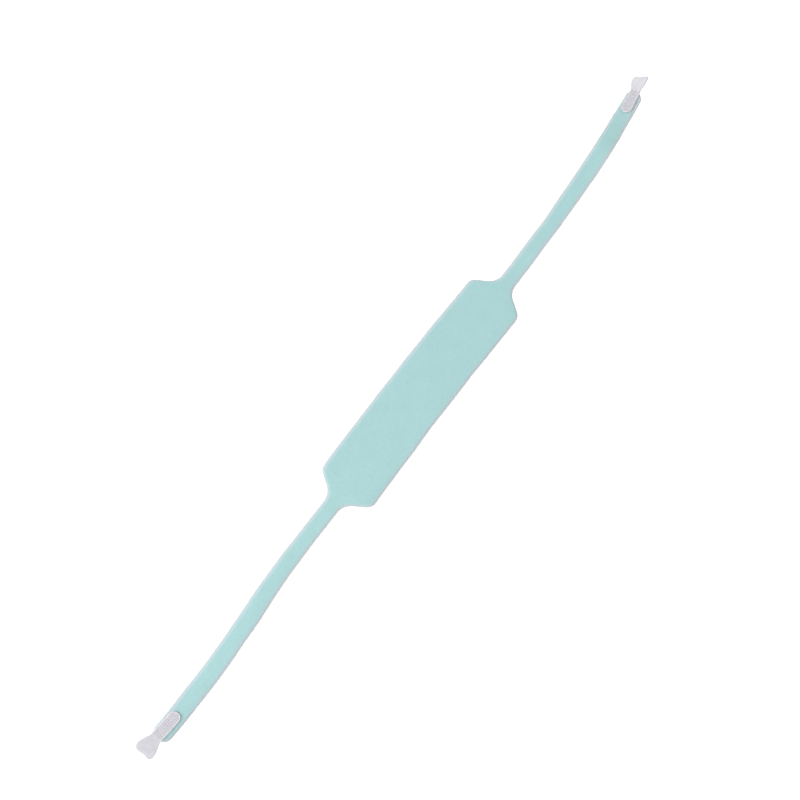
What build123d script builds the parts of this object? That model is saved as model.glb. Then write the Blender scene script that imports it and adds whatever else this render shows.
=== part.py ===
"""Padded hook-and-loop strap: a soft laminated band with a wide pad, two narrow tails and two hook tabs.

Frame: X runs along the strap, Y across it, Z up. The pad's lining lies on Z = 0 and the loop face is on top.
The band is one laminate of lining, foam and loop fabric. Each layer is cut where the band bends, so that
every stretch between two bending lines is a body of its own.
"""
import os
from math import cos
from math import radians
from math import sin

from build123d import *

# ---- laminate, bottom to top (mm) ----
LINING_THICK = 0.3
FOAM_THICK = 1.9
LOOP_THICK = 0.6
LINING_INSET = 0.3
LOOP_INSET = 0.45
FOAM_TOP = LINING_THICK + FOAM_THICK
BAND_THICK = FOAM_TOP + LOOP_THICK

# ---- outline of the band in plan ----
PAD_HALF_WIDTH = 15.0
PAD_CORNER_X = 58.1
SHOULDER_FOOT_X = 65.4
CORNER_RADIUS = 5.0
SHOULDER_FOOT_RADIUS = 8.0
TAIL_HALF_WIDTH = 4.24
LEFT_TAIL_WIDENING = 0.50
RIGHT_TAIL_WIDENING = 0.30
TAIL_END_RADIUS = 3.6
LEFT_BAND_END = 197.0
RIGHT_BAND_END = 187.5

# ---- sideways drift of the centre line in plan ----
PAD_BOW = 0.85
BOW_END = 60.0
LEFT_RETURN = 0.5
LEFT_DRIFT = 3.45
LEFT_TIP_RETURN = 0.4
RIGHT_SWEEP = 7.0

# ---- bending lines, as distances from the pad's middle ----
WRAP_LINE = 20.0
SHOULDER_LINE = 70.0
LEFT_TAIL_LINE = 112.0
RIGHT_TAIL_LINE = 103.0
LEFT_FOLD_LINE = 160.0
RIGHT_FOLD_LINE = 150.4
FOLD_LENGTH = 4.0
BEND_GAP = 0.3

# ---- rise of the tails off the table: the right one crests at its fold, the left one lifts at its tip ----
RISE_START = 77.0
RISE_SLOPE = 0.115
FALL_SLOPE = 0.160
RISE_ROUNDING = 7.0
CREST_ROUNDING = 4.0
LIFT_START = 165.0
LIFT_SLOPE = 0.04
LIFT_ROUNDING = 2.5

# ---- hook tab ----
TAB_LENGTH = 23.2
TAB_OVERLAP = 14.2
TAB_HALF_WIDTH = 2.95
TAB_FLARE_HALF_WIDTH = 5.0
TAB_FLARE_LENGTH = 8.8
TAB_NOTCH = 0.5
TAB_CORNER_RADIUS = 2.2
TAB_THICK = 1.1
TAB_LEFT_OFFSET = 1.1
TAB_RIGHT_OFFSET = 0.3
FILM_THICK = 0.15
FILM_INSET = 0.4

SAMPLE_STEP = 4.0
REACH = 40.0


def smoothstep(u):
    u = min(1.0, max(0.0, u))
    return u * u * (3.0 - 2.0 * u)


def rounded_kink(x, start, slope, rounding):
    """Height of a line that starts to rise at start with the given slope, rounded over the kink."""
    if x <= start - rounding:
        return 0.0
    if x >= start + rounding:
        return slope * (x - start)
    return slope * (x - start + rounding) ** 2 / (4.0 * rounding)


def centre_y(x):
    """Sideways drift of the band's centre line: a slightly bowed pad, and a gentle sweep in each tail."""
    bow = -PAD_BOW * (min(abs(x), BOW_END) / BOW_END) ** 2
    if x < 0.0:
        tail = LEFT_RETURN * smoothstep((-x - 55.0) / 15.0) - LEFT_DRIFT * smoothstep((-x - 93.0) / 74.0)
        return bow + tail + LEFT_TIP_RETURN * (max(0.0, -x - 177.0) / 20.0) ** 2
    return bow + RIGHT_SWEEP * (max(0.0, x - 73.0) / 110.0) ** 2


def tail_half_width(x):
    widening = LEFT_TAIL_WIDENING if x < 0.0 else RIGHT_TAIL_WIDENING
    return TAIL_HALF_WIDTH + widening * smoothstep((abs(x) - 92.0) / 40.0)


def base_z(x):
    """Height of the underside: the right tail rises, crests and falls, and the left tip lifts a little."""
    if x < 0.0:
        return rounded_kink(-x, LIFT_START, LIFT_SLOPE, LIFT_ROUNDING)
    crest = RIGHT_FOLD_LINE
    rise = rounded_kink(x, RISE_START, RISE_SLOPE, RISE_ROUNDING)
    return rise - rounded_kink(x, crest, RISE_SLOPE + FALL_SLOPE, CREST_ROUNDING)


def samples(start, end):
    """Stations from start to end, evenly spaced and both included."""
    count = max(2, round(abs(end - start) / SAMPLE_STEP))
    return [start + (end - start) * i / count for i in range(count + 1)]


def tail_plan(near, far, inset, rounded_end):
    """Face of a tail stretch in plan, between two stations, with the far end square or rounded."""
    stations = samples(near, far)
    upper = [(x, centre_y(x) + tail_half_width(x) - inset) for x in stations]
    lower = [(x, centre_y(x) - tail_half_width(x) + inset) for x in stations]
    with BuildSketch(Plane.XY) as plan:
        with BuildLine():
            Spline(*upper)
            Line(upper[-1], lower[-1])
            Spline(*lower)
            Line(lower[0], upper[0])
        make_face()
        if rounded_end:
            outer = plan.vertices().sort_by(Axis.X)
            corners = outer[-2:] if far > near else outer[:2]
            fillet(corners, TAIL_END_RADIUS - inset)
    return plan.sketch


def flap_plan(side, near, far, inset):
    """Face of one end of the pad in plan: square edges, a rounded corner and a hollow shoulder."""
    half = PAD_HALF_WIDTH - inset
    tail = TAIL_HALF_WIDTH - inset
    root = centre_y(side * near)
    bow = centre_y(side * PAD_CORNER_X)
    drift = centre_y(side * far)
    corner_x = side * (PAD_CORNER_X - 0.6 * inset)
    foot_x = side * (SHOULDER_FOOT_X - 0.6 * inset)
    points = [
        (side * near, root + half),
        (corner_x, bow + half),
        (foot_x, drift + tail),
        (side * far, drift + tail),
        (side * far, drift - tail),
        (foot_x, drift - tail),
        (corner_x, bow - half),
        (side * near, root - half),
    ]
    with BuildSketch(Plane.XY) as plan:
        with BuildLine():
            Polyline(*points, close=True)
        make_face()
        outward = plan.vertices().sort_by(Axis.X)
        outward = outward if side > 0 else ShapeList(reversed(outward))
        fillet(outward[2:4], CORNER_RADIUS)
        outward = plan.vertices().sort_by(Axis.X)
        outward = outward if side > 0 else ShapeList(reversed(outward))
        fillet(outward[6:8], SHOULDER_FOOT_RADIUS)
    return plan.sketch


def centre_plan(inset):
    with BuildSketch(Plane.XY) as plan:
        Rectangle(2.0 * WRAP_LINE - BEND_GAP, 2.0 * (PAD_HALF_WIDTH - inset))
    return plan.sketch


def side_band(near, far, low, high):
    """Side view of a layer between two heights above the band's underside."""
    stations = samples(near, far)
    bottom = [(x, base_z(x) + low) for x in stations]
    top = [(x, base_z(x) + high) for x in stations]
    with BuildSketch(Plane.XZ) as side:
        with BuildLine():
            Spline(*bottom)
            Line(bottom[-1], top[-1])
            Spline(*top)
            Line(top[0], bottom[0])
        make_face()
    return side.sketch


def layer(label, plan, near, far, low, high):
    """Solid of one layer: its plan pushed up and trimmed to the layer's side view."""
    with BuildPart() as piece:
        with BuildSketch(Plane.XY):
            add(plan)
        extrude(amount=REACH, both=True)
        with BuildSketch(Plane.XZ):
            add(side_band(near, far, low, high))
        extrude(amount=REACH, both=True, mode=Mode.INTERSECT)
    piece.part.label = label
    export_step(piece.part, f"parts/{label}.step")


def tab_plan(side, inset, full):
    """Face of a hook tab in plan: round inner end, straight middle and flared grip with a shallow notch."""
    band_end = LEFT_BAND_END if side < 0 else RIGHT_BAND_END
    inner = band_end - TAB_OVERLAP
    root_y = centre_y(side * inner) + (TAB_LEFT_OFFSET if side < 0 else TAB_RIGHT_OFFSET)
    lean = (centre_y(side * band_end) - centre_y(side * inner)) / TAB_OVERLAP
    half = TAB_HALF_WIDTH - inset
    length = TAB_LENGTH if full else TAB_OVERLAP - 2.0 * inset
    flare = TAB_FLARE_HALF_WIDTH

    def place(along, across):
        x = inner + inset + along * cos(lean) - across * sin(lean)
        y = root_y + along * sin(lean) + across * cos(lean)
        return (side * x, y)

    def heading(sign):
        root = place(0.0, 0.0)
        ahead = place(sign, 0.0)
        return (ahead[0] - root[0], ahead[1] - root[1])

    corner = TAB_CORNER_RADIUS
    cut = corner * (1.0 - cos(radians(45.0)))
    with BuildSketch(Plane.XY) as plan:
        with BuildLine():
            ThreePointArc(place(half, half), place(0.0, 0.0), place(half, -half))
            if full:
                neck = length - TAB_FLARE_LENGTH
                for hand in (1.0, -1.0):
                    Line(place(half, hand * half), place(neck, hand * half))
                    Spline(
                        place(neck, hand * half),
                        place(length - 5.6, hand * (half + 0.62 * (flare - half))),
                        place(length - corner, hand * flare),
                        tangents=(heading(1.0), heading(1.0)),
                    )
                    ThreePointArc(
                        place(length - corner, hand * flare),
                        place(length - cut, hand * (flare - cut)),
                        place(length, hand * (flare - corner)),
                    )
                ThreePointArc(
                    place(length, flare - corner),
                    place(length - TAB_NOTCH, 0.0),
                    place(length, corner - flare),
                )
            else:
                Line(place(half, half), place(length, half))
                Line(place(length, half), place(length, -half))
                Line(place(length, -half), place(half, -half))
        make_face()
    return plan.sketch


def laminate(name, plan_at, near, far):
    """The three layers of one stretch of the band."""
    layer(f"lining_{name}", plan_at(LINING_INSET), near, far, 0.0, LINING_THICK)
    layer(f"foam_core_{name}", plan_at(0.0), near, far, LINING_THICK, FOAM_TOP)
    layer(f"loop_face_{name}", plan_at(LOOP_INSET), near, far, FOAM_TOP, BAND_THICK)


os.makedirs("parts", exist_ok=True)
half_gap = 0.5 * BEND_GAP

laminate("pad_centre", centre_plan, half_gap - WRAP_LINE, WRAP_LINE - half_gap)

for hand, side in (("left", -1), ("right", 1)):
    tail_line = LEFT_TAIL_LINE if side < 0 else RIGHT_TAIL_LINE
    fold_line = LEFT_FOLD_LINE if side < 0 else RIGHT_FOLD_LINE
    band_end = LEFT_BAND_END if side < 0 else RIGHT_BAND_END
    flap_near = WRAP_LINE + half_gap
    flap_far = SHOULDER_LINE - half_gap
    laminate(
        f"pad_{hand}",
        lambda inset: flap_plan(side, flap_near, flap_far, inset),
        side * flap_near,
        side * flap_far,
    )
    fold_start = fold_line - 0.5 * FOLD_LENGTH
    fold_end = fold_line + 0.5 * FOLD_LENGTH
    stretches = (
        ("tail_inner", SHOULDER_LINE, tail_line, False),
        ("tail_outer", tail_line, fold_start, False),
        ("fold", fold_start, fold_end, False),
        ("tip", fold_end, band_end, True),
    )
    for name, start, end, is_tip in stretches:
        near = side * (start + half_gap)
        far = side * (end if is_tip else end - half_gap)
        laminate(
            f"{name}_{hand}",
            lambda inset: tail_plan(near, far - side * inset if is_tip else far, inset, is_tip),
            near,
            far,
        )
    film_low = BAND_THICK
    film_high = BAND_THICK + FILM_THICK
    inner = side * (band_end - TAB_OVERLAP - 2.0)
    outer = side * (band_end + TAB_LENGTH)
    layer(f"bond_film_{hand}", tab_plan(side, FILM_INSET, False), inner, outer, film_low, film_high)
    layer(f"hook_tab_{hand}", tab_plan(side, 0.0, True), inner, outer, film_high, film_high + TAB_THICK)
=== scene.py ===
from math import atan2, cos, pi, radians, sin, sqrt, tan

import bpy
import numpy as np
from mathutils import Matrix, Vector


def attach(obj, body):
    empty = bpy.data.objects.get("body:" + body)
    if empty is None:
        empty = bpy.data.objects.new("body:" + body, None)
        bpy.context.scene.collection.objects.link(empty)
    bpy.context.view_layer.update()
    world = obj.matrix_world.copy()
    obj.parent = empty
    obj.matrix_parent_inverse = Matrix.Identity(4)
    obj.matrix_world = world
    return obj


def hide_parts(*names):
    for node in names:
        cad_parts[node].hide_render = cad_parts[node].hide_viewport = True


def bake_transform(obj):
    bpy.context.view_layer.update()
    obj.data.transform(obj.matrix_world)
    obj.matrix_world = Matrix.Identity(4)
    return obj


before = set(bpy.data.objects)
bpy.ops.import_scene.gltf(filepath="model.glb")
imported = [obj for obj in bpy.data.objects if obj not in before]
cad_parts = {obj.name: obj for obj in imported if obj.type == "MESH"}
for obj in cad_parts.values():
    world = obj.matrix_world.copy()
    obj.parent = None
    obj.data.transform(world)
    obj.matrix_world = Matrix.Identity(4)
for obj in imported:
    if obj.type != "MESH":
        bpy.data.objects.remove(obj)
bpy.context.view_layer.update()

# Shape numbers are in millimetres and are turned into metres when a mesh is made. The floor, the lights
# and the camera's distance are in metres.
MM = 0.001

# ---- laminate: heights above the band's underside, insets from the foam's edge, shape of the cut edges ----
LINING_TOP = 0.3
LINING_INSET = 0.3
LINING_SINK = 0.005
LINING_SIDE_OUT = 0.05
LINING_SIDE_HEIGHT = 0.18
LINING_BOTTOM = 0.02
LINING_EDGE_LIFT = 0.07
LINING_EDGE_WIDTH = 0.6
BAND_MIDDLE = 1.4
BAND_TOP = 2.8
LOOP_THICK = 0.52
LOOP_INSET = 0.88
LOOP_UNDER_INSET = 0.06
LOOP_SIDE_OUT = 0.07
LOOP_CROWN = 0.06
LOOP_CROWN_WIDTH = 6.0
LOOP_EDGE_DROP = 0.30
LOOP_EDGE_WIDTH = 0.55
SWELL_EDGE_WIDTH = 4.0

# ---- foam: two bulging, rough sides and two flat faces against the cloths ----
FOAM_LEAST_HALF = 0.3
FOAM_SIDE_POINTS = 11
FOAM_FACE_POINTS = 9
FOAM_BULGE = 0.5
FOAM_TOP_PULL = 0.18
FOAM_MIDDLE = 1.25
FOAM_HALF_HEIGHT = 0.96
FOAM_FIELD_SHIFT = 30.0
FOAM_FIELD_STRETCH = 1.3
FOAM_TOP = 2.16
FOAM_TOP_CORNER = 1.86
FOAM_TOP_INSET = 1.15
FOAM_BOTTOM = 0.29
FOAM_BOTTOM_INSET = 0.9

# ---- pale tint of the loop cloth near its cut edge ----
RIM_NAME = "rim"
RIM_WIDTH = 0.7
RIM_STRENGTH = 0.75

# ---- outline, as in the CAD source ----
PAD_HALF = 15.0
PAD_CORNER_X = 58.1
SHOULDER_FOOT_X = 65.4
CORNER_RADIUS = 5.0
CORNER_STEPS = 12
FOOT_RADIUS = 8.0
FOOT_STEPS = 16
TAIL_HALF = 4.24
LEFT_WIDENING = 0.50
RIGHT_WIDENING = 0.30
WIDENING_START = 92.0
WIDENING_RUN = 40.0
END_RADIUS = 3.6
BAND_END = {"left": 197.0, "right": 187.5}

# ---- bending lines, as distances from the pad's middle ----
WRAP_LINE = 20.0
SHOULDER_LINE = 70.0
TAIL_LINE = {"left": 112.0, "right": 103.0}
FOLD_LINE = {"left": 160.0, "right": 150.4}
FOLD_LENGTH = 4.0
WRAP_SOFT = 17.0
SHOULDER_SOFT = 14.0
TAIL_SOFT = 14.0
FOLD_SOFT = 2.0

# ---- sideways drift of the centre line: how far, from where and over what length ----
PAD_BOW = 0.85
BOW_END = 60.0
LEFT_RETURN = 0.5
LEFT_RETURN_START = 55.0
LEFT_RETURN_RUN = 15.0
LEFT_DRIFT = 3.45
LEFT_DRIFT_START = 93.0
LEFT_DRIFT_RUN = 74.0
LEFT_TIP_RETURN = 0.4
LEFT_TIP_START = 177.0
LEFT_TIP_RUN = 20.0
RIGHT_SWEEP = 7.0
RIGHT_SWEEP_START = 73.0
RIGHT_SWEEP_RUN = 110.0

# ---- height of the underside at rest ----
RISE_START = 77.0
RISE_SLOPE = 0.115
RISE_ROUNDING = 7.0
FALL_SLOPE = 0.160
CREST_ROUNDING = 4.0
LEFT_LIFT_START = 165.0
LEFT_LIFT_SLOPE = 0.04
LEFT_LIFT_ROUNDING = 2.5

# ---- roll about the length: how far, from where and over what length ----
TAIL_ROLL_RIGHT = radians(8.0)
TAIL_ROLL_START = 115.0
TAIL_ROLL_RUN = 40.0
TIP_ROLL_RIGHT = radians(24.0)
TIP_ROLL_RIGHT_START = 158.0
TIP_ROLL_RIGHT_RUN = 28.0
GRIP_ROLL_RIGHT = radians(21.0)
GRIP_ROLL_START = 184.0
GRIP_ROLL_RUN = 10.0
TIP_ROLL_LEFT = radians(12.0)
TIP_ROLL_LEFT_START = 168.0
TIP_ROLL_LEFT_RUN = 22.0

# ---- mesh spacing along the band ----
STEP_PLAIN = 0.8
STEP_FINE = 0.4
STEP_ROUND_END = 0.35
STEP_LAST = 0.15
SHORTEST_STEP = 0.08
FOLD_FINE_REACH = 6.5
SHOULDER_FINE_START = 55.5
SHOULDER_FINE_END = 72.0
END_MARGIN = 1.0

# ---- random fields: each edge reads its field at its own offset, so the two differ ----
WOBBLE_SHIFT = 40.0
WOBBLE_GAIN = 0.8
NIBBLE_SHIFT = 9.0

# ---- hook tab: outline ----
TAB_LENGTH = 23.2
TAB_OVERLAP = 14.2
TAB_HALF = 2.95
TAB_FLARE_HALF = 5.0
TAB_FLARE_LENGTH = 8.8
TAB_NOTCH = 0.5
TAB_NOTCH_RUN = 3.5
TAB_CORNER = 2.2
TAB_OFFSET = {"left": 0.8, "right": -0.4}
TAB_TURN = {"left": radians(3.0), "right": 0.0}

# ---- hook tab: heights ----
TAB_STAND_OFF = 0.04
TAB_LIFT = 0.35
TAB_LIFT_START = 15.0
TAB_LIFT_RUN = 8.0
TAB_UNDER_INSET = 0.12
TAB_EDGE_HEIGHT = 0.12
TAB_EDGE_ROUNDING = 0.34
PLATE_THICK = 0.50
GRIP_EXTRA = 0.34
GRIP_START = 14.0
GRIP_RUN = 5.0
TAB_RIM_HEIGHT = 0.20
TAB_RIM_INSET = 0.42
TAB_RIM_WIDTH = 0.26
TAB_RIM_END = 13.5
TAB_RIM_FADE = 2.5
RIDGE_HEIGHT = 0.10
RIDGE_PLACE = 21.4
RIDGE_WIDTH = 0.9
RIDGE_EDGE_WIDTH = 1.0

# ---- hooks: a stem's path as (share of the reach, height) with its radius at each step ----
HOOK_PATH = [(0.0, -0.06), (0.0, 0.18), (0.10, 0.33), (0.42, 0.45), (0.80, 0.44), (1.0, 0.33)]
HOOK_RADII = [0.17, 0.13, 0.115, 0.10, 0.085, 0.06]
HOOK_SIDES = 6
HOOK_REACH = 0.30
HOOK_OVAL = 1.25
HOOK_CURL_HEIGHT = 0.3
HOOK_CURL_TILT = 0.9
HOOK_ROWS = 13
HOOK_FIRST_ROW = 1.35
HOOK_ROW_PITCH = 1.0
HOOK_COLUMNS = 4
HOOK_COLUMN_PITCH = 1.02
HOOK_EDGE_GAP = 0.95
HOOK_JITTER = 0.03
HOOK_SEED = {"left": 21, "right": 22}

# ---- bond film under a tab ----
FILM_THICK = 0.15
FILM_BITE = 0.02
FILM_INSET = 0.4
FILM_HALF = 2.5
FILM_ROUND_END = 2.9
FILM_STRAIGHT_START = 3.4
FILM_STEP = 0.8
FILM_POINTS = 7

# A cloth piece is declared at least this wide, in metres. Below, the smaller of a piece's true flat area
# and its width (at least this) times its length is worked out but not used. Its flat area stays the true
# one.
LEAST_CLOTH_WIDTH = 0.0101


def smooth(u):
    u = np.clip(u, 0.0, 1.0)
    return u * u * (3.0 - 2.0 * u)


def kink(x, start, slope, r):
    """A line that starts to rise at start, rounded over the kink."""
    x = np.asarray(x, float)
    ramp = slope * (x - start + r) ** 2 / (4.0 * r)
    return np.where(x <= start - r, 0.0, np.where(x >= start + r, slope * (x - start), ramp))


def centre_y(x):
    """Sideways drift of the centre line: a slightly bowed pad and a gentle sweep in each tail."""
    x = np.asarray(x, float)
    a = np.abs(x)
    bow = -PAD_BOW * (np.minimum(a, BOW_END) / BOW_END) ** 2
    back = LEFT_RETURN * smooth((a - LEFT_RETURN_START) / LEFT_RETURN_RUN)
    left = back - LEFT_DRIFT * smooth((a - LEFT_DRIFT_START) / LEFT_DRIFT_RUN)
    left = left + LEFT_TIP_RETURN * (np.maximum(0.0, a - LEFT_TIP_START) / LEFT_TIP_RUN) ** 2
    right = RIGHT_SWEEP * (np.maximum(0.0, a - RIGHT_SWEEP_START) / RIGHT_SWEEP_RUN) ** 2
    return bow + np.where(x < 0.0, left, right)


def base_z(x):
    """Height of the underside: the right tail rises, crests and falls, and the left tip lifts a little."""
    x = np.asarray(x, float)
    rise = kink(x, RISE_START, RISE_SLOPE, RISE_ROUNDING)
    right = rise - kink(x, FOLD_LINE["right"], RISE_SLOPE + FALL_SLOPE, CREST_ROUNDING)
    left = kink(-x, LEFT_LIFT_START, LEFT_LIFT_SLOPE, LEFT_LIFT_ROUNDING)
    return np.where(x < 0.0, left, right)


def twist(x):
    """Roll of the band about its length, in radians."""
    x = np.asarray(x, float)
    tail = -TAIL_ROLL_RIGHT * smooth((x - TAIL_ROLL_START) / TAIL_ROLL_RUN)
    right = tail - TIP_ROLL_RIGHT * smooth((x - TIP_ROLL_RIGHT_START) / TIP_ROLL_RIGHT_RUN)
    right = right - GRIP_ROLL_RIGHT * smooth((x - GRIP_ROLL_START) / GRIP_ROLL_RUN)
    left = TIP_ROLL_LEFT * smooth((-x - TIP_ROLL_LEFT_START) / TIP_ROLL_LEFT_RUN)
    return np.where(x < 0.0, left, right)


def pad_profile():
    """Half width against distance from the middle, through the pad's corner and its hollow shoulder."""
    turn = atan2(PAD_HALF - TAIL_HALF, SHOULDER_FOOT_X - PAD_CORNER_X)
    t1 = CORNER_RADIUS * tan(turn / 2)
    t2 = FOOT_RADIUS * tan(turn / 2)
    xs = [0.0]
    ws = [PAD_HALF]
    for i in range(CORNER_STEPS + 1):
        a = pi / 2 - turn * i / CORNER_STEPS
        xs.append(PAD_CORNER_X - t1 + CORNER_RADIUS * cos(a))
        ws.append(PAD_HALF - CORNER_RADIUS + CORNER_RADIUS * sin(a))
    for i in range(FOOT_STEPS + 1):
        a = 3 * pi / 2 - turn * (1 - i / FOOT_STEPS)
        xs.append(SHOULDER_FOOT_X + t2 + FOOT_RADIUS * cos(a))
        ws.append(TAIL_HALF + FOOT_RADIUS + FOOT_RADIUS * sin(a))
    return np.array(xs), np.array(ws)


PROFILE_X, PROFILE_W = pad_profile()


def waves(count, low, high, amount, seed):
    """A smooth random field of (along, across), as a sum of plane waves between two wavelengths."""
    r = np.random.default_rng(seed)
    length = r.uniform(low, high, count)
    angle = r.uniform(0.0, 2 * pi, count)
    phase = r.uniform(0.0, 2 * pi, count)
    kx = 2 * pi / length * np.cos(angle)
    ky = 2 * pi / length * np.sin(angle)
    gain = amount * sqrt(2.0 / count)

    def field(x, y):
        x, y = np.broadcast_arrays(np.asarray(x, float), np.asarray(y, float))
        total = np.zeros(x.shape)
        for a, b, c in zip(kx, ky, phase):
            total += np.sin(a * x + b * y + c)
        return gain * total

    return field


edge_wobble = waves(count=10, low=14.0, high=45.0, amount=0.10, seed=11)
edge_nibble = waves(count=14, low=1.6, high=5.0, amount=0.022, seed=12)
pile_rise = waves(count=26, low=1.4, high=4.0, amount=0.022, seed=13)
pad_swell = waves(count=8, low=18.0, high=60.0, amount=0.07, seed=14)
foam_rough = waves(count=30, low=0.9, high=2.4, amount=0.028, seed=15)


def half_width(x, side):
    """Half width of the foam at x, on the +Y (side 1) or -Y (side -1) edge."""
    x = np.asarray(x, float)
    a = np.abs(x)
    widening = np.where(x < 0.0, LEFT_WIDENING, RIGHT_WIDENING)
    w = np.interp(a, PROFILE_X, PROFILE_W) + widening * smooth((a - WIDENING_START) / WIDENING_RUN)
    w = w + edge_wobble(x, WOBBLE_SHIFT * side) * WOBBLE_GAIN + edge_nibble(x, NIBBLE_SHIFT * side)
    end = np.where(x < 0.0, BAND_END["left"], BAND_END["right"])
    into = np.clip(a - (end - END_RADIUS), 0.0, END_RADIUS)
    return w - END_RADIUS + np.sqrt(np.maximum(END_RADIUS**2 - into**2, 0.0))


def place(x, y, h):
    """World position of a point of the band: y across from the centre line, h above the underside."""
    t = twist(x)
    up = h - BAND_MIDDLE
    y_out = centre_y(x) + y * np.cos(t) - up * np.sin(t)
    z_out = base_z(x) + BAND_MIDDLE + y * np.sin(t) + up * np.cos(t)
    return np.stack(np.broadcast_arrays(x, y_out, z_out), axis=-1)


# ---------------------------------------------------------------- materials
def node_tree(name):
    m = bpy.data.materials.new(name)
    m.use_nodes = True
    nt = m.node_tree
    nt.nodes.clear()
    out = nt.nodes.new("ShaderNodeOutputMaterial")
    shader = nt.nodes.new("ShaderNodeBsdfPrincipled")
    nt.links.new(shader.outputs["BSDF"], out.inputs["Surface"])
    return m, nt, shader


def add(nt, kind, **values):
    n = nt.nodes.new(kind)
    for key, value in values.items():
        if key in n.inputs:
            n.inputs[key].default_value = value
        else:
            setattr(n, key, value)
    return n


def millimetres(nt, stretch=(1.0, 1.0, 1.0), turn=0.0):
    """The piece's own flat coordinates in millimetres, which stay on the cloth when it bends."""
    uv = nt.nodes.new("ShaderNodeUVMap")
    uv.uv_map = "flat_mm"
    m = nt.nodes.new("ShaderNodeMapping")
    m.inputs["Scale"].default_value = stretch
    m.inputs["Rotation"].default_value = (0.0, 0.0, turn)
    nt.links.new(uv.outputs["UV"], m.inputs["Vector"])
    return m.outputs["Vector"]


def noise(nt, vector, scale, detail=2.0, rough=0.5):
    n = add(nt, "ShaderNodeTexNoise")
    n.inputs["Scale"].default_value = scale
    n.inputs["Detail"].default_value = detail
    n.inputs["Roughness"].default_value = rough
    nt.links.new(vector, n.inputs["Vector"])
    return n.outputs["Fac"]


def math_node(nt, op, a, b=None, clamp=False):
    n = nt.nodes.new("ShaderNodeMath")
    n.operation = op
    n.use_clamp = clamp
    for i, v in enumerate((a, b)):
        if v is None:
            continue
        if isinstance(v, (int, float)):
            n.inputs[i].default_value = v
        else:
            nt.links.new(v, n.inputs[i])
    return n.outputs[0]


def ramp(nt, fac, stops):
    n = nt.nodes.new("ShaderNodeValToRGB")
    els = n.color_ramp.elements
    els[0].position, els[0].color = stops[0][0], (*stops[0][1], 1.0)
    els[1].position, els[1].color = stops[-1][0], (*stops[-1][1], 1.0)
    for p, c in stops[1:-1]:
        e = els.new(p)
        e.color = (*c, 1.0)
    nt.links.new(fac, n.inputs["Fac"])
    return n.outputs["Color"]


def blend_color(nt, fac, color, other):
    n = nt.nodes.new("ShaderNodeMix")
    n.data_type = "RGBA"
    nt.links.new(fac, n.inputs["Factor"])
    colors = [i for i in n.inputs if i.type == "RGBA"]
    nt.links.new(color, colors[0])
    colors[1].default_value = (*other, 1.0)
    return next(o for o in n.outputs if o.type == "RGBA")


def bump(nt, shader, height, strength, distance_mm):
    n = nt.nodes.new("ShaderNodeBump")
    n.inputs["Strength"].default_value = strength
    n.inputs["Distance"].default_value = distance_mm * MM
    nt.links.new(height, n.inputs["Height"])
    nt.links.new(n.outputs["Normal"], shader.inputs["Normal"])


def shade(color, k):
    return tuple(min(1.0, c * k) for c in color)


LOOP_COLOR = (0.402, 0.642, 0.645)
FOAM_COLOR = (0.600, 0.655, 0.685)
RIM_COLOR = (0.560, 0.640, 0.665)
LINING_COLOR = (0.450, 0.640, 0.635)
TAB_COLOR = (0.672, 0.660, 0.702)
FILM_COLOR = (0.62, 0.70, 0.70)


def loop_material():
    """Brushed loop fabric: fine crossing fibres over small loops, with a soft mottle."""
    m, nt, s = node_tree("loop_fabric")
    fine_a = noise(nt, millimetres(nt, (0.9, 4.2, 1.0), radians(24)), 1.0, 3.0, 0.6)
    fine_b = noise(nt, millimetres(nt, (0.9, 4.2, 1.0), radians(-31)), 1.0, 3.0, 0.6)
    fine = math_node(nt, "MAXIMUM", fine_a, fine_b)
    mottle = noise(nt, millimetres(nt), 0.10, 2.0, 0.5)
    loops = nt.nodes.new("ShaderNodeTexVoronoi")
    loops.feature = "SMOOTH_F1"
    loops.inputs["Scale"].default_value = 1.9
    loops.inputs["Randomness"].default_value = 0.85
    nt.links.new(millimetres(nt), loops.inputs["Vector"])
    cell = math_node(nt, "SUBTRACT", 0.62, loops.outputs["Distance"])
    fine_part = math_node(nt, "MULTIPLY", fine, 0.60)
    mottle_part = math_node(nt, "MULTIPLY", mottle, 0.16)
    tone = math_node(nt, "ADD", fine_part, mottle_part)
    tone = math_node(nt, "ADD", tone, math_node(nt, "MULTIPLY", cell, 0.22))
    stops = [(0.25, shade(LOOP_COLOR, 0.88)), (0.50, LOOP_COLOR), (0.75, shade(LOOP_COLOR, 1.08))]
    rim = add(nt, "ShaderNodeAttribute", attribute_name=RIM_NAME)
    color = blend_color(nt, rim.outputs["Fac"], ramp(nt, tone, stops), RIM_COLOR)
    nt.links.new(color, s.inputs["Base Color"])
    s.inputs["Roughness"].default_value = 0.95
    s.inputs["Specular IOR Level"].default_value = 0.2
    s.inputs["Sheen Weight"].default_value = 0.35
    s.inputs["Sheen Roughness"].default_value = 0.6
    s.inputs["Sheen Tint"].default_value = (0.85, 0.97, 0.96, 1.0)
    fine_height = math_node(nt, "MULTIPLY", fine, 0.6)
    height = math_node(nt, "ADD", fine_height, math_node(nt, "MULTIPLY", cell, 0.6))
    bump(nt, s, height, 0.45, 0.18)
    return m


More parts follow.
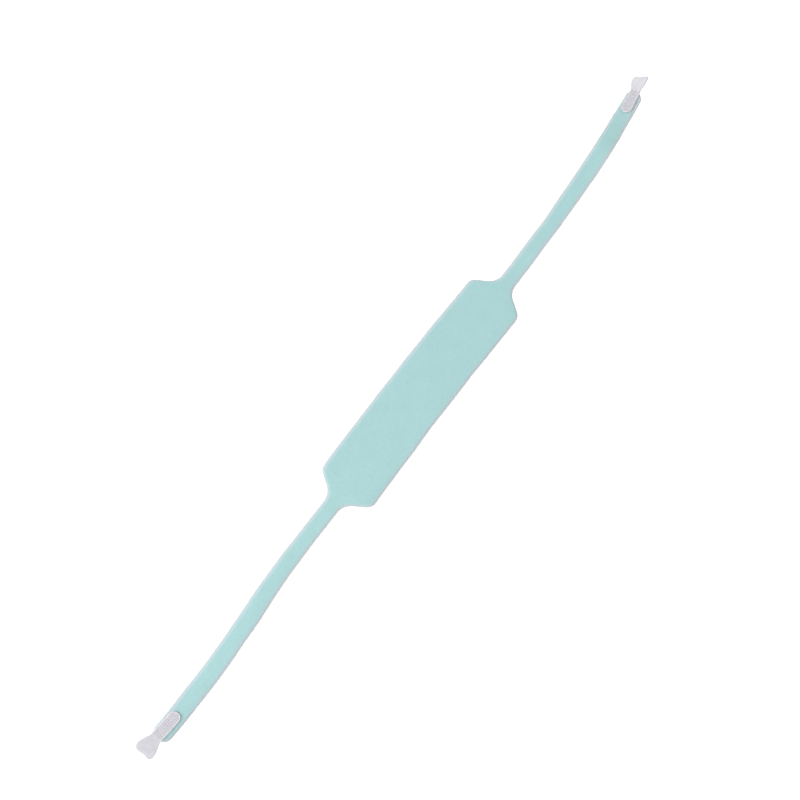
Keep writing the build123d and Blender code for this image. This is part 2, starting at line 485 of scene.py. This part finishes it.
def foam_material():
    """Cut edge of open-cell foam: pale, with small pores."""
    m, nt, s = node_tree("foam")
    pores = nt.nodes.new("ShaderNodeTexVoronoi")
    pores.feature = "F1"
    pores.inputs["Scale"].default_value = 3.1
    nt.links.new(millimetres(nt), pores.inputs["Vector"])
    fine = noise(nt, millimetres(nt), 4.5, 2.0, 0.6)
    pore_part = math_node(nt, "MULTIPLY", pores.outputs["Distance"], 0.7)
    tone = math_node(nt, "ADD", pore_part, math_node(nt, "MULTIPLY", fine, 0.4))
    stops = [(0.15, shade(FOAM_COLOR, 0.86)), (0.45, FOAM_COLOR), (0.8, shade(FOAM_COLOR, 1.1))]
    color = ramp(nt, tone, stops)
    nt.links.new(color, s.inputs["Base Color"])
    s.inputs["Roughness"].default_value = 0.9
    s.inputs["Specular IOR Level"].default_value = 0.25
    s.inputs["Subsurface Weight"].default_value = 0.1
    s.inputs["Subsurface Radius"].default_value = (0.001, 0.001, 0.001)
    bump(nt, s, tone, 0.5, 0.18)
    return m


def lining_material():
    """Smooth warp-knit lining: fine wales that run along the band."""
    m, nt, s = node_tree("lining")
    wave = nt.nodes.new("ShaderNodeTexWave")
    wave.wave_type = "BANDS"
    wave.bands_direction = "Y"
    wave.inputs["Scale"].default_value = 0.55
    wave.inputs["Distortion"].default_value = 0.6
    wave.inputs["Detail"].default_value = 1.0
    nt.links.new(millimetres(nt), wave.inputs["Vector"])
    stitch = noise(nt, millimetres(nt, (3.4, 1.6, 1.0)), 1.0, 2.0, 0.5)
    mottle = noise(nt, millimetres(nt), 0.15, 2.0, 0.5)
    wave_part = math_node(nt, "MULTIPLY", wave.outputs["Fac"], 0.4)
    tone = math_node(nt, "ADD", wave_part, math_node(nt, "MULTIPLY", stitch, 0.4))
    tone = math_node(nt, "ADD", tone, math_node(nt, "MULTIPLY", mottle, 0.25))
    stops = [(0.2, shade(LINING_COLOR, 0.84)), (0.5, LINING_COLOR), (0.85, shade(LINING_COLOR, 1.1))]
    color = ramp(nt, tone, stops)
    nt.links.new(color, s.inputs["Base Color"])
    s.inputs["Roughness"].default_value = 0.85
    s.inputs["Sheen Weight"].default_value = 0.2
    s.inputs["Sheen Roughness"].default_value = 0.5
    bump(nt, s, tone, 0.4, 0.12)
    return m


def tab_material():
    """Moulded hook plastic: milky, a little uneven, satin."""
    m, nt, s = node_tree("hook_plastic")
    cloud = noise(nt, millimetres(nt), 0.35, 3.0, 0.5)
    grain = noise(nt, millimetres(nt), 5.0, 1.0, 0.5)
    cloud_part = math_node(nt, "MULTIPLY", cloud, 0.8)
    tone = math_node(nt, "ADD", cloud_part, math_node(nt, "MULTIPLY", grain, 0.2))
    color = ramp(nt, tone, [(0.3, shade(TAB_COLOR, 0.95)), (0.7, shade(TAB_COLOR, 1.05))])
    nt.links.new(color, s.inputs["Base Color"])
    s.inputs["Roughness"].default_value = 0.42
    s.inputs["IOR"].default_value = 1.46
    s.inputs["Specular IOR Level"].default_value = 0.45
    s.inputs["Subsurface Weight"].default_value = 0.25
    s.inputs["Subsurface Radius"].default_value = (0.0012, 0.0012, 0.0014)
    bump(nt, s, grain, 0.15, 0.05)
    return m


def film_material():
    m, nt, s = node_tree("adhesive")
    cloud = noise(nt, millimetres(nt), 0.6, 2.0, 0.5)
    color = ramp(nt, cloud, [(0.3, shade(FILM_COLOR, 0.92)), (0.7, shade(FILM_COLOR, 1.06))])
    nt.links.new(color, s.inputs["Base Color"])
    s.inputs["Roughness"].default_value = 0.4
    return m


MATERIALS = {
    "loop_fabric": loop_material(),
    "foam": foam_material(),
    "lining": lining_material(),
    "hook_plastic": tab_material(),
    "adhesive": film_material(),
}


# ---------------------------------------------------------------- meshes
def ring_mesh(name, points, slot, along=None):
    """A closed tube of rings: points is (stations, ring, 3) in millimetres. UVs are flat millimetres."""
    n, m, _ = points.shape
    verts = (points.reshape(-1, 3) * MM).tolist()
    faces = []
    for i in range(n - 1):
        for k in range(m):
            j = (k + 1) % m
            faces.append((i * m + k, (i + 1) * m + k, (i + 1) * m + j, i * m + j))
    faces.append(tuple(range(m)))
    faces.append(tuple(reversed(range((n - 1) * m, n * m))))
    mesh = bpy.data.meshes.new(name)
    mesh.from_pydata(verts, [], faces)
    step = np.linalg.norm(np.diff(points, axis=1, append=points[:, :1]), axis=2)
    around = np.concatenate([np.zeros((n, 1)), np.cumsum(step, axis=1)], axis=1)
    if along is None:
        centre = points.mean(axis=1)
        along = np.concatenate([[0.0], np.cumsum(np.linalg.norm(np.diff(centre, axis=0), axis=1))])
    uv = np.zeros((len(mesh.loops), 2))
    index = 0
    for i in range(n - 1):
        for k in range(m):
            uv[index] = (along[i], around[i, k])
            uv[index + 1] = (along[i + 1], around[i + 1, k])
            uv[index + 2] = (along[i + 1], around[i + 1, k + 1])
            uv[index + 3] = (along[i], around[i, k + 1])
            index += 4
    for row in (0, n - 1):
        flat = points[row, :, 1:]
        flat = flat if row == 0 else flat[::-1]
        uv[index : index + m] = flat
        index += m
    layer = mesh.uv_layers.new(name="flat_mm")
    layer.data.foreach_set("uv", uv.ravel())
    mesh.polygons.foreach_set("use_smooth", [True] * len(mesh.polygons))
    mesh.update()
    cap_edges = set()
    for k in range(m):
        j = (k + 1) % m
        cap_edges.add(tuple(sorted((k, j))))
        cap_edges.add(tuple(sorted(((n - 1) * m + k, (n - 1) * m + j))))
    sharp = [tuple(sorted(e.vertices)) in cap_edges for e in mesh.edges]
    att = mesh.attributes.get("sharp_edge") or mesh.attributes.new("sharp_edge", "BOOLEAN", "EDGE")
    att.data.foreach_set("value", sharp)
    mesh.materials.append(MATERIALS[slot])
    o = bpy.data.objects.new(name, mesh)
    bpy.context.scene.collection.objects.link(o)
    return o


def stations(start, end):
    """Stations between two positions, closer at the folds, the pad's corners and the band's ends."""
    out = [start]
    sign = 1.0 if end > start else -1.0
    while (end - out[-1]) * sign > 1e-6:
        a = abs(out[-1])
        hand = "left" if out[-1] < 0 else "right"
        near_fold = abs(a - FOLD_LINE[hand]) < FOLD_FINE_REACH
        near_shoulder = SHOULDER_FINE_START < a < SHOULDER_FINE_END
        step = STEP_FINE if near_fold or near_shoulder else STEP_PLAIN
        tail_end = BAND_END[hand] - a
        if tail_end < END_RADIUS + END_MARGIN:
            step = STEP_ROUND_END
        if tail_end < END_MARGIN:
            step = STEP_LAST
        out.append(out[-1] + sign * step)
    out[-1] = end
    if abs(out[-1] - out[-2]) < SHORTEST_STEP:
        out.pop(-2)
    return np.array(out)


def edge_distance(y, low, high):
    return np.minimum(y + low, high - y)


def across(xs, inset, count, power=1.0):
    """Cross positions from the -Y edge to the +Y edge, and the two half widths."""
    low = np.maximum(half_width(xs, -1) - inset, 0.05)
    high = np.maximum(half_width(xs, 1) - inset, 0.05)
    v = np.linspace(-1.0, 1.0, count)
    v = np.sign(v) * (1.0 - (1.0 - np.abs(v)) ** power)
    y = np.where(v[None, :] < 0.0, v[None, :] * low[:, None], v[None, :] * high[:, None])
    return y, low[:, None], high[:, None]


def loop_top(xs, y, low, high):
    """Height of the loop face: a slight crown that drops at the cut edge, with a pile and a slow swell."""
    d = edge_distance(y, low, high)
    crown = LOOP_CROWN * smooth(d / LOOP_CROWN_WIDTH)
    drop = LOOP_EDGE_DROP * np.exp(-((np.maximum(d, 0.0) / LOOP_EDGE_WIDTH) ** 1.5))
    pile = pile_rise(xs[:, None], y)
    swell = pad_swell(xs[:, None], y) * smooth(d / SWELL_EDGE_WIDTH)
    return BAND_TOP - LOOP_CROWN + crown - drop + pile + swell


def loop_piece(name, xs):
    y, low, high = across(xs, LOOP_INSET, count=41, power=1.25)
    top = loop_top(xs, y, low, high)
    yb, _, _ = across(xs, LOOP_INSET + LOOP_UNDER_INSET, count=11)
    bottom = loop_top(xs, yb, low, high) - LOOP_THICK
    right = np.stack([high[:, 0] + LOOP_SIDE_OUT, (top[:, -1] + bottom[:, -1]) / 2], axis=-1)
    left = np.stack([-low[:, 0] - LOOP_SIDE_OUT, (top[:, 0] + bottom[:, 0]) / 2], axis=-1)
    ys = np.concatenate([y, right[:, :1], yb[:, ::-1], left[:, :1]], axis=1)
    hs = np.concatenate([top, right[:, 1:], bottom[:, ::-1], left[:, 1:]], axis=1)
    o = ring_mesh(name, place(xs[:, None], ys, hs), "loop_fabric", along=xs)
    end = np.where(xs < 0.0, BAND_END["left"], BAND_END["right"])
    d = np.minimum(edge_distance(ys, low, high), (end - np.abs(xs))[:, None] - LOOP_INSET)
    thin = RIM_STRENGTH * np.exp(-((np.maximum(d, 0.0) / RIM_WIDTH) ** 2))
    rim = o.data.attributes.new(RIM_NAME, "FLOAT", "POINT")
    rim.data.foreach_set("value", thin.ravel())
    return o


def foam_piece(name, xs):
    low = np.maximum(half_width(xs, -1), FOAM_LEAST_HALF)[:, None]
    high = np.maximum(half_width(xs, 1), FOAM_LEAST_HALF)[:, None]
    phi = np.linspace(-pi / 2, pi / 2, FOAM_SIDE_POINTS)
    top_pull = FOAM_TOP_PULL * np.maximum(np.sin(phi), 0.0) ** 3
    out = FOAM_BULGE * np.cos(phi) ** 0.75 - FOAM_BULGE - top_pull
    rise = FOAM_MIDDLE + FOAM_HALF_HEIGHT * np.sin(phi)
    skin = np.cos(phi) ** 0.5
    x2 = xs[:, None]
    path = FOAM_FIELD_SHIFT + FOAM_FIELD_STRETCH * rise[None, :]
    right_y = high + out[None, :] + foam_rough(x2, path) * skin[None, :]
    left_y = -low - out[None, :] + foam_rough(x2, -path) * skin[None, :]
    hs_side = np.broadcast_to(rise[None, :], right_y.shape)
    v = np.linspace(1.0, -1.0, FOAM_FACE_POINTS)[None, :]
    top_y = np.where(v > 0, v * (high - FOAM_TOP_INSET), v * (low - FOAM_TOP_INSET))
    top_h = np.full(top_y.shape, FOAM_TOP)
    top_h[:, 0] = FOAM_TOP_CORNER
    top_h[:, -1] = FOAM_TOP_CORNER
    u = v[:, ::-1]
    bottom_y = np.where(u > 0, u * (high - FOAM_BOTTOM_INSET), u * (low - FOAM_BOTTOM_INSET))
    bottom_h = np.full(bottom_y.shape, FOAM_BOTTOM)
    ys = np.concatenate([right_y, top_y, left_y[:, ::-1], bottom_y], axis=1)
    hs = np.concatenate([hs_side, top_h, hs_side[:, ::-1], bottom_h], axis=1)
    return ring_mesh(name, place(x2, ys, hs)[:, ::-1], "foam", along=xs)


def lining_piece(name, xs):
    y, low, high = across(xs, LINING_INSET, count=21, power=1.2)
    top = np.full(y.shape, LINING_TOP - LINING_SINK)
    yb, _, _ = across(xs, LINING_INSET + LINING_SIDE_OUT, count=21, power=1.2)
    d = edge_distance(yb, low, high)
    bottom = LINING_BOTTOM + LINING_EDGE_LIFT * np.exp(-((np.maximum(d, 0.0) / LINING_EDGE_WIDTH) ** 2))
    side_height = np.full(len(xs), LINING_SIDE_HEIGHT)
    right = np.stack([high[:, 0] + LINING_SIDE_OUT, side_height], axis=-1)
    left = np.stack([-low[:, 0] - LINING_SIDE_OUT, side_height], axis=-1)
    ys = np.concatenate([y, right[:, :1], yb[:, ::-1], left[:, :1]], axis=1)
    hs = np.concatenate([top, right[:, 1:], bottom[:, ::-1], left[:, 1:]], axis=1)
    return ring_mesh(name, place(xs[:, None], ys, hs), "lining", along=xs)


# ---------------------------------------------------------------- the band, one piece per bending line
def spans(hand):
    """The bending lines of one side, each with its label, the bodies on both sides of it, the side's
    sign, the line itself, the piece's two ends and half the length over which the bend is spread."""
    s = -1.0 if hand == "left" else 1.0
    fold = FOLD_LINE[hand]
    tail = TAIL_LINE[hand]
    f0 = fold - FOLD_LENGTH / 2
    f1 = fold + FOLD_LENGTH / 2
    ends = [
        0.0,
        (WRAP_LINE + SHOULDER_LINE) / 2,
        (SHOULDER_LINE + tail) / 2,
        (tail + f0) / 2,
        fold,
        BAND_END[hand],
    ]
    bodies = ["pad_centre"]
    bodies += [f"{part}_{hand}" for part in ("pad", "tail_inner", "tail_outer", "fold", "tip")]
    lines = [WRAP_LINE, SHOULDER_LINE, tail, f0, f1]
    soft = [WRAP_SOFT, SHOULDER_SOFT, TAIL_SOFT, FOLD_SOFT, FOLD_SOFT]
    labels = ["wrap", "shoulder", "tail", "fold_start", "fold_end"]
    for i, label in enumerate(labels):
        yield f"{label}_{hand}", bodies[i], bodies[i + 1], s, lines[i], ends[i], ends[i + 1], soft[i]


def flat_area(xs, inset):
    w = half_width(xs, -1) + half_width(xs, 1) - 2 * inset
    return float(abs(np.trapz(w, xs))) * MM * MM


for hand in ("left", "right"):
    for label, near, far, s, line, start, end, soft in spans(hand):
        xs = stations(s * start, s * end)
        xs = xs[::-1] if s < 0 else xs
        parts = {
            "foam_core": foam_piece(f"foam_core_{label}", xs),
            "loop_face": loop_piece(f"loop_face_{label}", xs),
            "lining": lining_piece(f"lining_{label}", xs),
        }
        here = Vector((s * line, float(centre_y(s * line)), float(base_z(s * line)))) * MM
        drift = float(centre_y(s * (line + 1)) - centre_y(s * line))
        for layer, piece in parts.items():
            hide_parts(f"{layer}_{near}", f"{layer}_{far}")
            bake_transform(piece)
        length = float(abs(xs[-1] - xs[0])) * MM
        wide = float(np.max(half_width(xs, -1) + half_width(xs, 1))) * MM
        for layer, inset in (("loop_face", LOOP_INSET), ("lining", LINING_INSET)):
            cut = max(wide - 2 * inset * MM, LEAST_CLOTH_WIDTH)
            min(flat_area(xs, inset), cut * length)


# ---------------------------------------------------------------- hook tabs
def tab_half(a):
    """Half width of a tab at a distance from its round inner end."""
    a = np.asarray(a, float)
    round_end = np.sqrt(np.maximum(TAB_HALF**2 - np.maximum(TAB_HALF - a, 0.0) ** 2, 0.0))
    neck = TAB_LENGTH - TAB_FLARE_LENGTH
    along = np.clip((a - neck) / (TAB_FLARE_LENGTH - TAB_CORNER), 0.0, 1.0)
    body = TAB_HALF + (TAB_FLARE_HALF - TAB_HALF) * smooth(along**0.8)
    into = np.clip(a - (TAB_LENGTH - TAB_CORNER), 0.0, TAB_CORNER)
    body = body - TAB_CORNER + np.sqrt(np.maximum(TAB_CORNER**2 - into**2, 0.0))
    return np.where(a < TAB_HALF, round_end, body)


def tab_place(hand, a, y, h):
    """World position of a point of a tab: a from its inner end, y across it, h above the loop face."""
    s = -1.0 if hand == "left" else 1.0
    end = BAND_END[hand]
    inner = end - TAB_OVERLAP
    lean = float(centre_y(s * end) - centre_y(s * inner)) / TAB_OVERLAP
    psi = TAB_TURN[hand] + lean
    root = float(centre_y(s * inner)) + TAB_OFFSET[hand]
    across_y = root + a * sin(psi) + y * cos(psi)
    x = s * (inner + a * cos(psi) - y * sin(psi))
    lift = TAB_LIFT * smooth((a - TAB_LIFT_START) / TAB_LIFT_RUN)
    return place(x, across_y - centre_y(x), BAND_TOP + TAB_STAND_OFF + h + lift)


def tab_top(a, y):
    """Height of the tab's upper face: a plate with a raised rim beside the hooks and a thicker grip."""
    half = np.maximum(tab_half(a), 0.02)
    d = np.minimum(half - np.abs(y), a)
    d = np.minimum(d, TAB_LENGTH - a)
    d = np.maximum(d, 0.0)
    rim = TAB_RIM_HEIGHT * np.exp(-(((d - TAB_RIM_INSET) / TAB_RIM_WIDTH) ** 2))
    rim = rim * (1.0 - smooth((a - TAB_RIM_END) / TAB_RIM_FADE))
    plate = PLATE_THICK + GRIP_EXTRA * smooth((a - GRIP_START) / GRIP_RUN)
    ridge = RIDGE_HEIGHT * np.exp(-(((a - RIDGE_PLACE) / RIDGE_WIDTH) ** 2)) * smooth(d / RIDGE_EDGE_WIDTH)
    edge = np.sqrt(np.clip(1.0 - (1.0 - np.clip(d / TAB_EDGE_ROUNDING, 0.0, 1.0)) ** 2, 0.0, 1.0))
    return FILM_THICK + TAB_EDGE_HEIGHT + (plate - TAB_EDGE_HEIGHT) * edge + rim + ridge


def tab_stations():
    round_part = TAB_HALF * (1 - np.cos(np.linspace(0.06, pi / 2, 12)))
    middle = np.arange(TAB_HALF + 0.35, TAB_LENGTH - TAB_CORNER, 0.4)
    corner = TAB_LENGTH - TAB_CORNER + TAB_CORNER * np.sin(np.linspace(0.0, pi / 2 * 0.985, 10))
    return np.concatenate([round_part, middle, corner])


def hook(a, y, lean_sign, jitter):
    """One small moulded hook: a tapered stem that rises from the plate and curls over along the tab."""
    pts = []
    reach = HOOK_REACH * lean_sign
    for (f, z), r in zip(HOOK_PATH, HOOK_RADII):
        tilt = 0.0 if z < HOOK_CURL_HEIGHT else HOOK_CURL_TILT
        for k in range(HOOK_SIDES):
            w = 2 * pi * k / HOOK_SIDES
            along = a + f * reach + r * cos(w) * cos(tilt)
            sideways = y + r * HOOK_OVAL * sin(w) + jitter
            up = z + r * cos(w) * sin(tilt) * -lean_sign
            pts.append((along, sideways, up))
    faces = []
    steps = len(HOOK_PATH)
    for i in range(steps - 1):
        for k in range(HOOK_SIDES):
            j = (k + 1) % HOOK_SIDES
            low = i * HOOK_SIDES
            high = (i + 1) * HOOK_SIDES
            faces.append((low + k, low + j, high + j, high + k))
    faces.append(tuple(reversed(range(HOOK_SIDES))))
    faces.append(tuple(range((steps - 1) * HOOK_SIDES, steps * HOOK_SIDES)))
    return pts, faces


def hook_field(hand):
    """All the hooks of one tab as one mesh, in rows inside the rim."""
    verts = []
    faces = []
    r = np.random.default_rng(HOOK_SEED[hand])
    middle = (HOOK_COLUMNS - 1) / 2
    for i in range(HOOK_ROWS):
        a = HOOK_FIRST_ROW + i * HOOK_ROW_PITCH
        for k in range(HOOK_COLUMNS):
            y = (k - middle) * HOOK_COLUMN_PITCH
            if float(tab_half(a)) - abs(y) < HOOK_EDGE_GAP:
                continue
            lean_sign = 1.0 if k % 2 else -1.0
            pts, fs = hook(a, y, lean_sign, float(r.uniform(-HOOK_JITTER, HOOK_JITTER)))
            base = len(verts)
            pa = np.array([p[0] for p in pts])
            py = np.array([p[1] for p in pts])
            ph = np.array([p[2] for p in pts]) + FILM_THICK + PLATE_THICK
            verts += tab_place(hand, pa, py, ph).tolist()
            faces += [tuple(base + q for q in f) for f in fs]
    return np.array(verts), faces


def tab_piece(hand):
    a = tab_stations()
    half = np.maximum(tab_half(a), 0.02)[:, None]
    v = np.linspace(-1.0, 1.0, 27)
    v = np.sign(v) * (1.0 - (1.0 - np.abs(v)) ** 1.35)
    y = v[None, :] * half
    toward_grip = smooth((a[:, None] - (TAB_LENGTH - TAB_NOTCH_RUN)) / TAB_NOTCH_RUN)
    notch = TAB_NOTCH * (1.0 - v[None, :] ** 2) * toward_grip
    top = tab_top(a[:, None], y)
    vb = np.linspace(1.0, -1.0, 11)
    yb = vb[None, :] * np.maximum(half - TAB_UNDER_INSET, 0.01)
    notch_b = TAB_NOTCH * (1.0 - vb[None, :] ** 2) * toward_grip
    bottom = np.full(yb.shape, FILM_THICK)
    along = np.concatenate([a[:, None] - notch, a[:, None] - notch_b], axis=1)
    ys = np.concatenate([y, yb], axis=1)
    pts = tab_place(hand, along, ys, np.concatenate([top, bottom], axis=1))
    if hand == "left":
        pts = pts[:, ::-1]
    o = ring_mesh(f"hook_tab_{hand}", pts, "hook_plastic", along=a)
    verts, faces = hook_field(hand)
    if hand == "left":
        faces = [f[::-1] for f in faces]
    field = bpy.data.meshes.new("hooks")
    field.from_pydata((verts * MM).tolist(), [], faces)
    uv = field.uv_layers.new(name="flat_mm")
    corner = [verts[loop.vertex_index][:2] for loop in field.loops]
    uv.data.foreach_set("uv", np.array(corner).ravel())
    field.polygons.foreach_set("use_smooth", [True] * len(field.polygons))
    field.materials.append(MATERIALS["hook_plastic"])
    extra = bpy.data.objects.new("hooks", field)
    bpy.context.scene.collection.objects.link(extra)
    bpy.ops.object.select_all(action="DESELECT")
    extra.select_set(True)
    o.select_set(True)
    bpy.context.view_layer.objects.active = o
    bpy.ops.object.join()
    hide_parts(f"hook_tab_{hand}")
    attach(o, f"tip_{hand}")


def film_piece(hand):
    round_part = FILM_INSET + FILM_HALF * (1 - np.cos(np.linspace(0.1, pi / 2, 8)))
    straight = np.arange(FILM_STRAIGHT_START, TAB_OVERLAP - FILM_INSET, FILM_STEP)
    a = np.concatenate([round_part, straight])
    round_half = np.sqrt(np.maximum(FILM_HALF**2 - (FILM_ROUND_END - a) ** 2, 0.01))
    half = np.where(a < FILM_ROUND_END, round_half, FILM_HALF)[:, None]
    v = np.linspace(-1.0, 1.0, FILM_POINTS)
    y = np.concatenate([v[None, :] * half, v[None, ::-1] * half], axis=1)
    top = np.full((len(a), FILM_POINTS), FILM_THICK + FILM_BITE)
    bottom = np.full((len(a), FILM_POINTS), -FILM_BITE)
    h = np.concatenate([top, bottom], axis=1)
    pts = tab_place(hand, a[:, None], y, h)
    if hand == "left":
        pts = pts[:, ::-1]
    o = ring_mesh(f"bond_film_{hand}", pts, "adhesive", along=a)
    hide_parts(f"bond_film_{hand}")
    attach(o, f"tip_{hand}")


for hand in ("left", "right"):
    film_piece(hand)
    tab_piece(hand)


# ---------------------------------------------------------------- floor, light and camera
# The wrapped tails hang up to 158 mm under the band's rest plane, so the floor lies deeper than that.
FLOOR_DEPTH = 0.170
FLOOR_HALF = 6.0
WORLD_STRENGTH = 0.55


def floor():
    side = FLOOR_HALF
    corners = [(-side, -side, 0), (side, -side, 0), (side, side, 0), (-side, side, 0)]
    mesh = bpy.data.meshes.new("floor")
    mesh.from_pydata(corners, [], [(0, 1, 2, 3)])
    o = bpy.data.objects.new("floor", mesh)
    o.location.z = -FLOOR_DEPTH
    bpy.context.scene.collection.objects.link(o)
    m, _, s = node_tree("floor_paint")
    s.inputs["Base Color"].default_value = (0.86, 0.86, 0.865, 1.0)
    s.inputs["Emission Color"].default_value = (1.0, 1.0, 1.0, 1.0)
    s.inputs["Emission Strength"].default_value = 0.55
    s.inputs["Roughness"].default_value = 0.9
    s.inputs["Specular IOR Level"].default_value = 0.1
    mesh.materials.append(m)


def area_light(name, place_at, target, size, power):
    data = bpy.data.lights.new(name, "AREA")
    data.shape = "DISK"
    data.size = size
    data.energy = power
    o = bpy.data.objects.new(name, data)
    o.location = place_at
    o.rotation_mode = "QUATERNION"
    o.rotation_quaternion = (Vector(target) - Vector(place_at)).to_track_quat("-Z", "Y")
    bpy.context.scene.collection.objects.link(o)


floor()
world = bpy.data.worlds.new("studio")
world.use_nodes = True
world.node_tree.nodes["Background"].inputs["Color"].default_value = (1.0, 1.0, 1.0, 1.0)
world.node_tree.nodes["Background"].inputs["Strength"].default_value = WORLD_STRENGTH
bpy.context.scene.world = world
area_light("key", place_at=(-0.75, 0.62, 0.95), target=(-0.05, 0.0, 0.0), size=0.9, power=12.0)
area_light("fill", place_at=(0.4, -0.5, 1.3), target=(0.0, 0.0, 0.0), size=1.2, power=3.0)

# The sensor is in millimetres, as Blender takes it. The focal length and the camera's two shifts are
# in pixels of an 800 x 800 picture.
CAMERA_DISTANCE = 0.650
CAMERA_TILT = radians(12.7)
BAND_ANGLE = radians(51.92)
FOCAL_PIXELS = 1379.0
FRAME_PIXELS = 800.0
SENSOR_WIDTH = 36.0
PAD_RIGHT_OF_CENTRE = 20.2
PAD_ABOVE_CENTRE = 9.1

along_axis = Vector((cos(CAMERA_TILT), 0.0, sin(CAMERA_TILT)))
side_axis = Vector((0.0, 1.0, 0.0))
right_axis = along_axis * cos(BAND_ANGLE) - side_axis * sin(BAND_ANGLE)
up_axis = along_axis * sin(BAND_ANGLE) + side_axis * cos(BAND_ANGLE)
back_axis = right_axis.cross(up_axis)
per_pixel = CAMERA_DISTANCE / FOCAL_PIXELS
spot = back_axis * CAMERA_DISTANCE - right_axis * PAD_RIGHT_OF_CENTRE * per_pixel
spot -= up_axis * PAD_ABOVE_CENTRE * per_pixel
camera_data = bpy.data.cameras.new("camera")
camera_data.sensor_width = SENSOR_WIDTH
camera_data.lens = FOCAL_PIXELS * SENSOR_WIDTH / FRAME_PIXELS
camera_data.clip_start = 0.01
camera_data.clip_end = 20.0
camera = bpy.data.objects.new("camera", camera_data)
camera.matrix_world = Matrix(
    (
        (right_axis.x, up_axis.x, back_axis.x, spot.x),
        (right_axis.y, up_axis.y, back_axis.y, spot.y),
        (right_axis.z, up_axis.z, back_axis.z, spot.z),
        (0.0, 0.0, 0.0, 1.0),
    )
)
bpy.context.scene.collection.objects.link(camera)
bpy.context.scene.camera = camera
bpy.context.scene.view_settings.view_transform = "Standard"
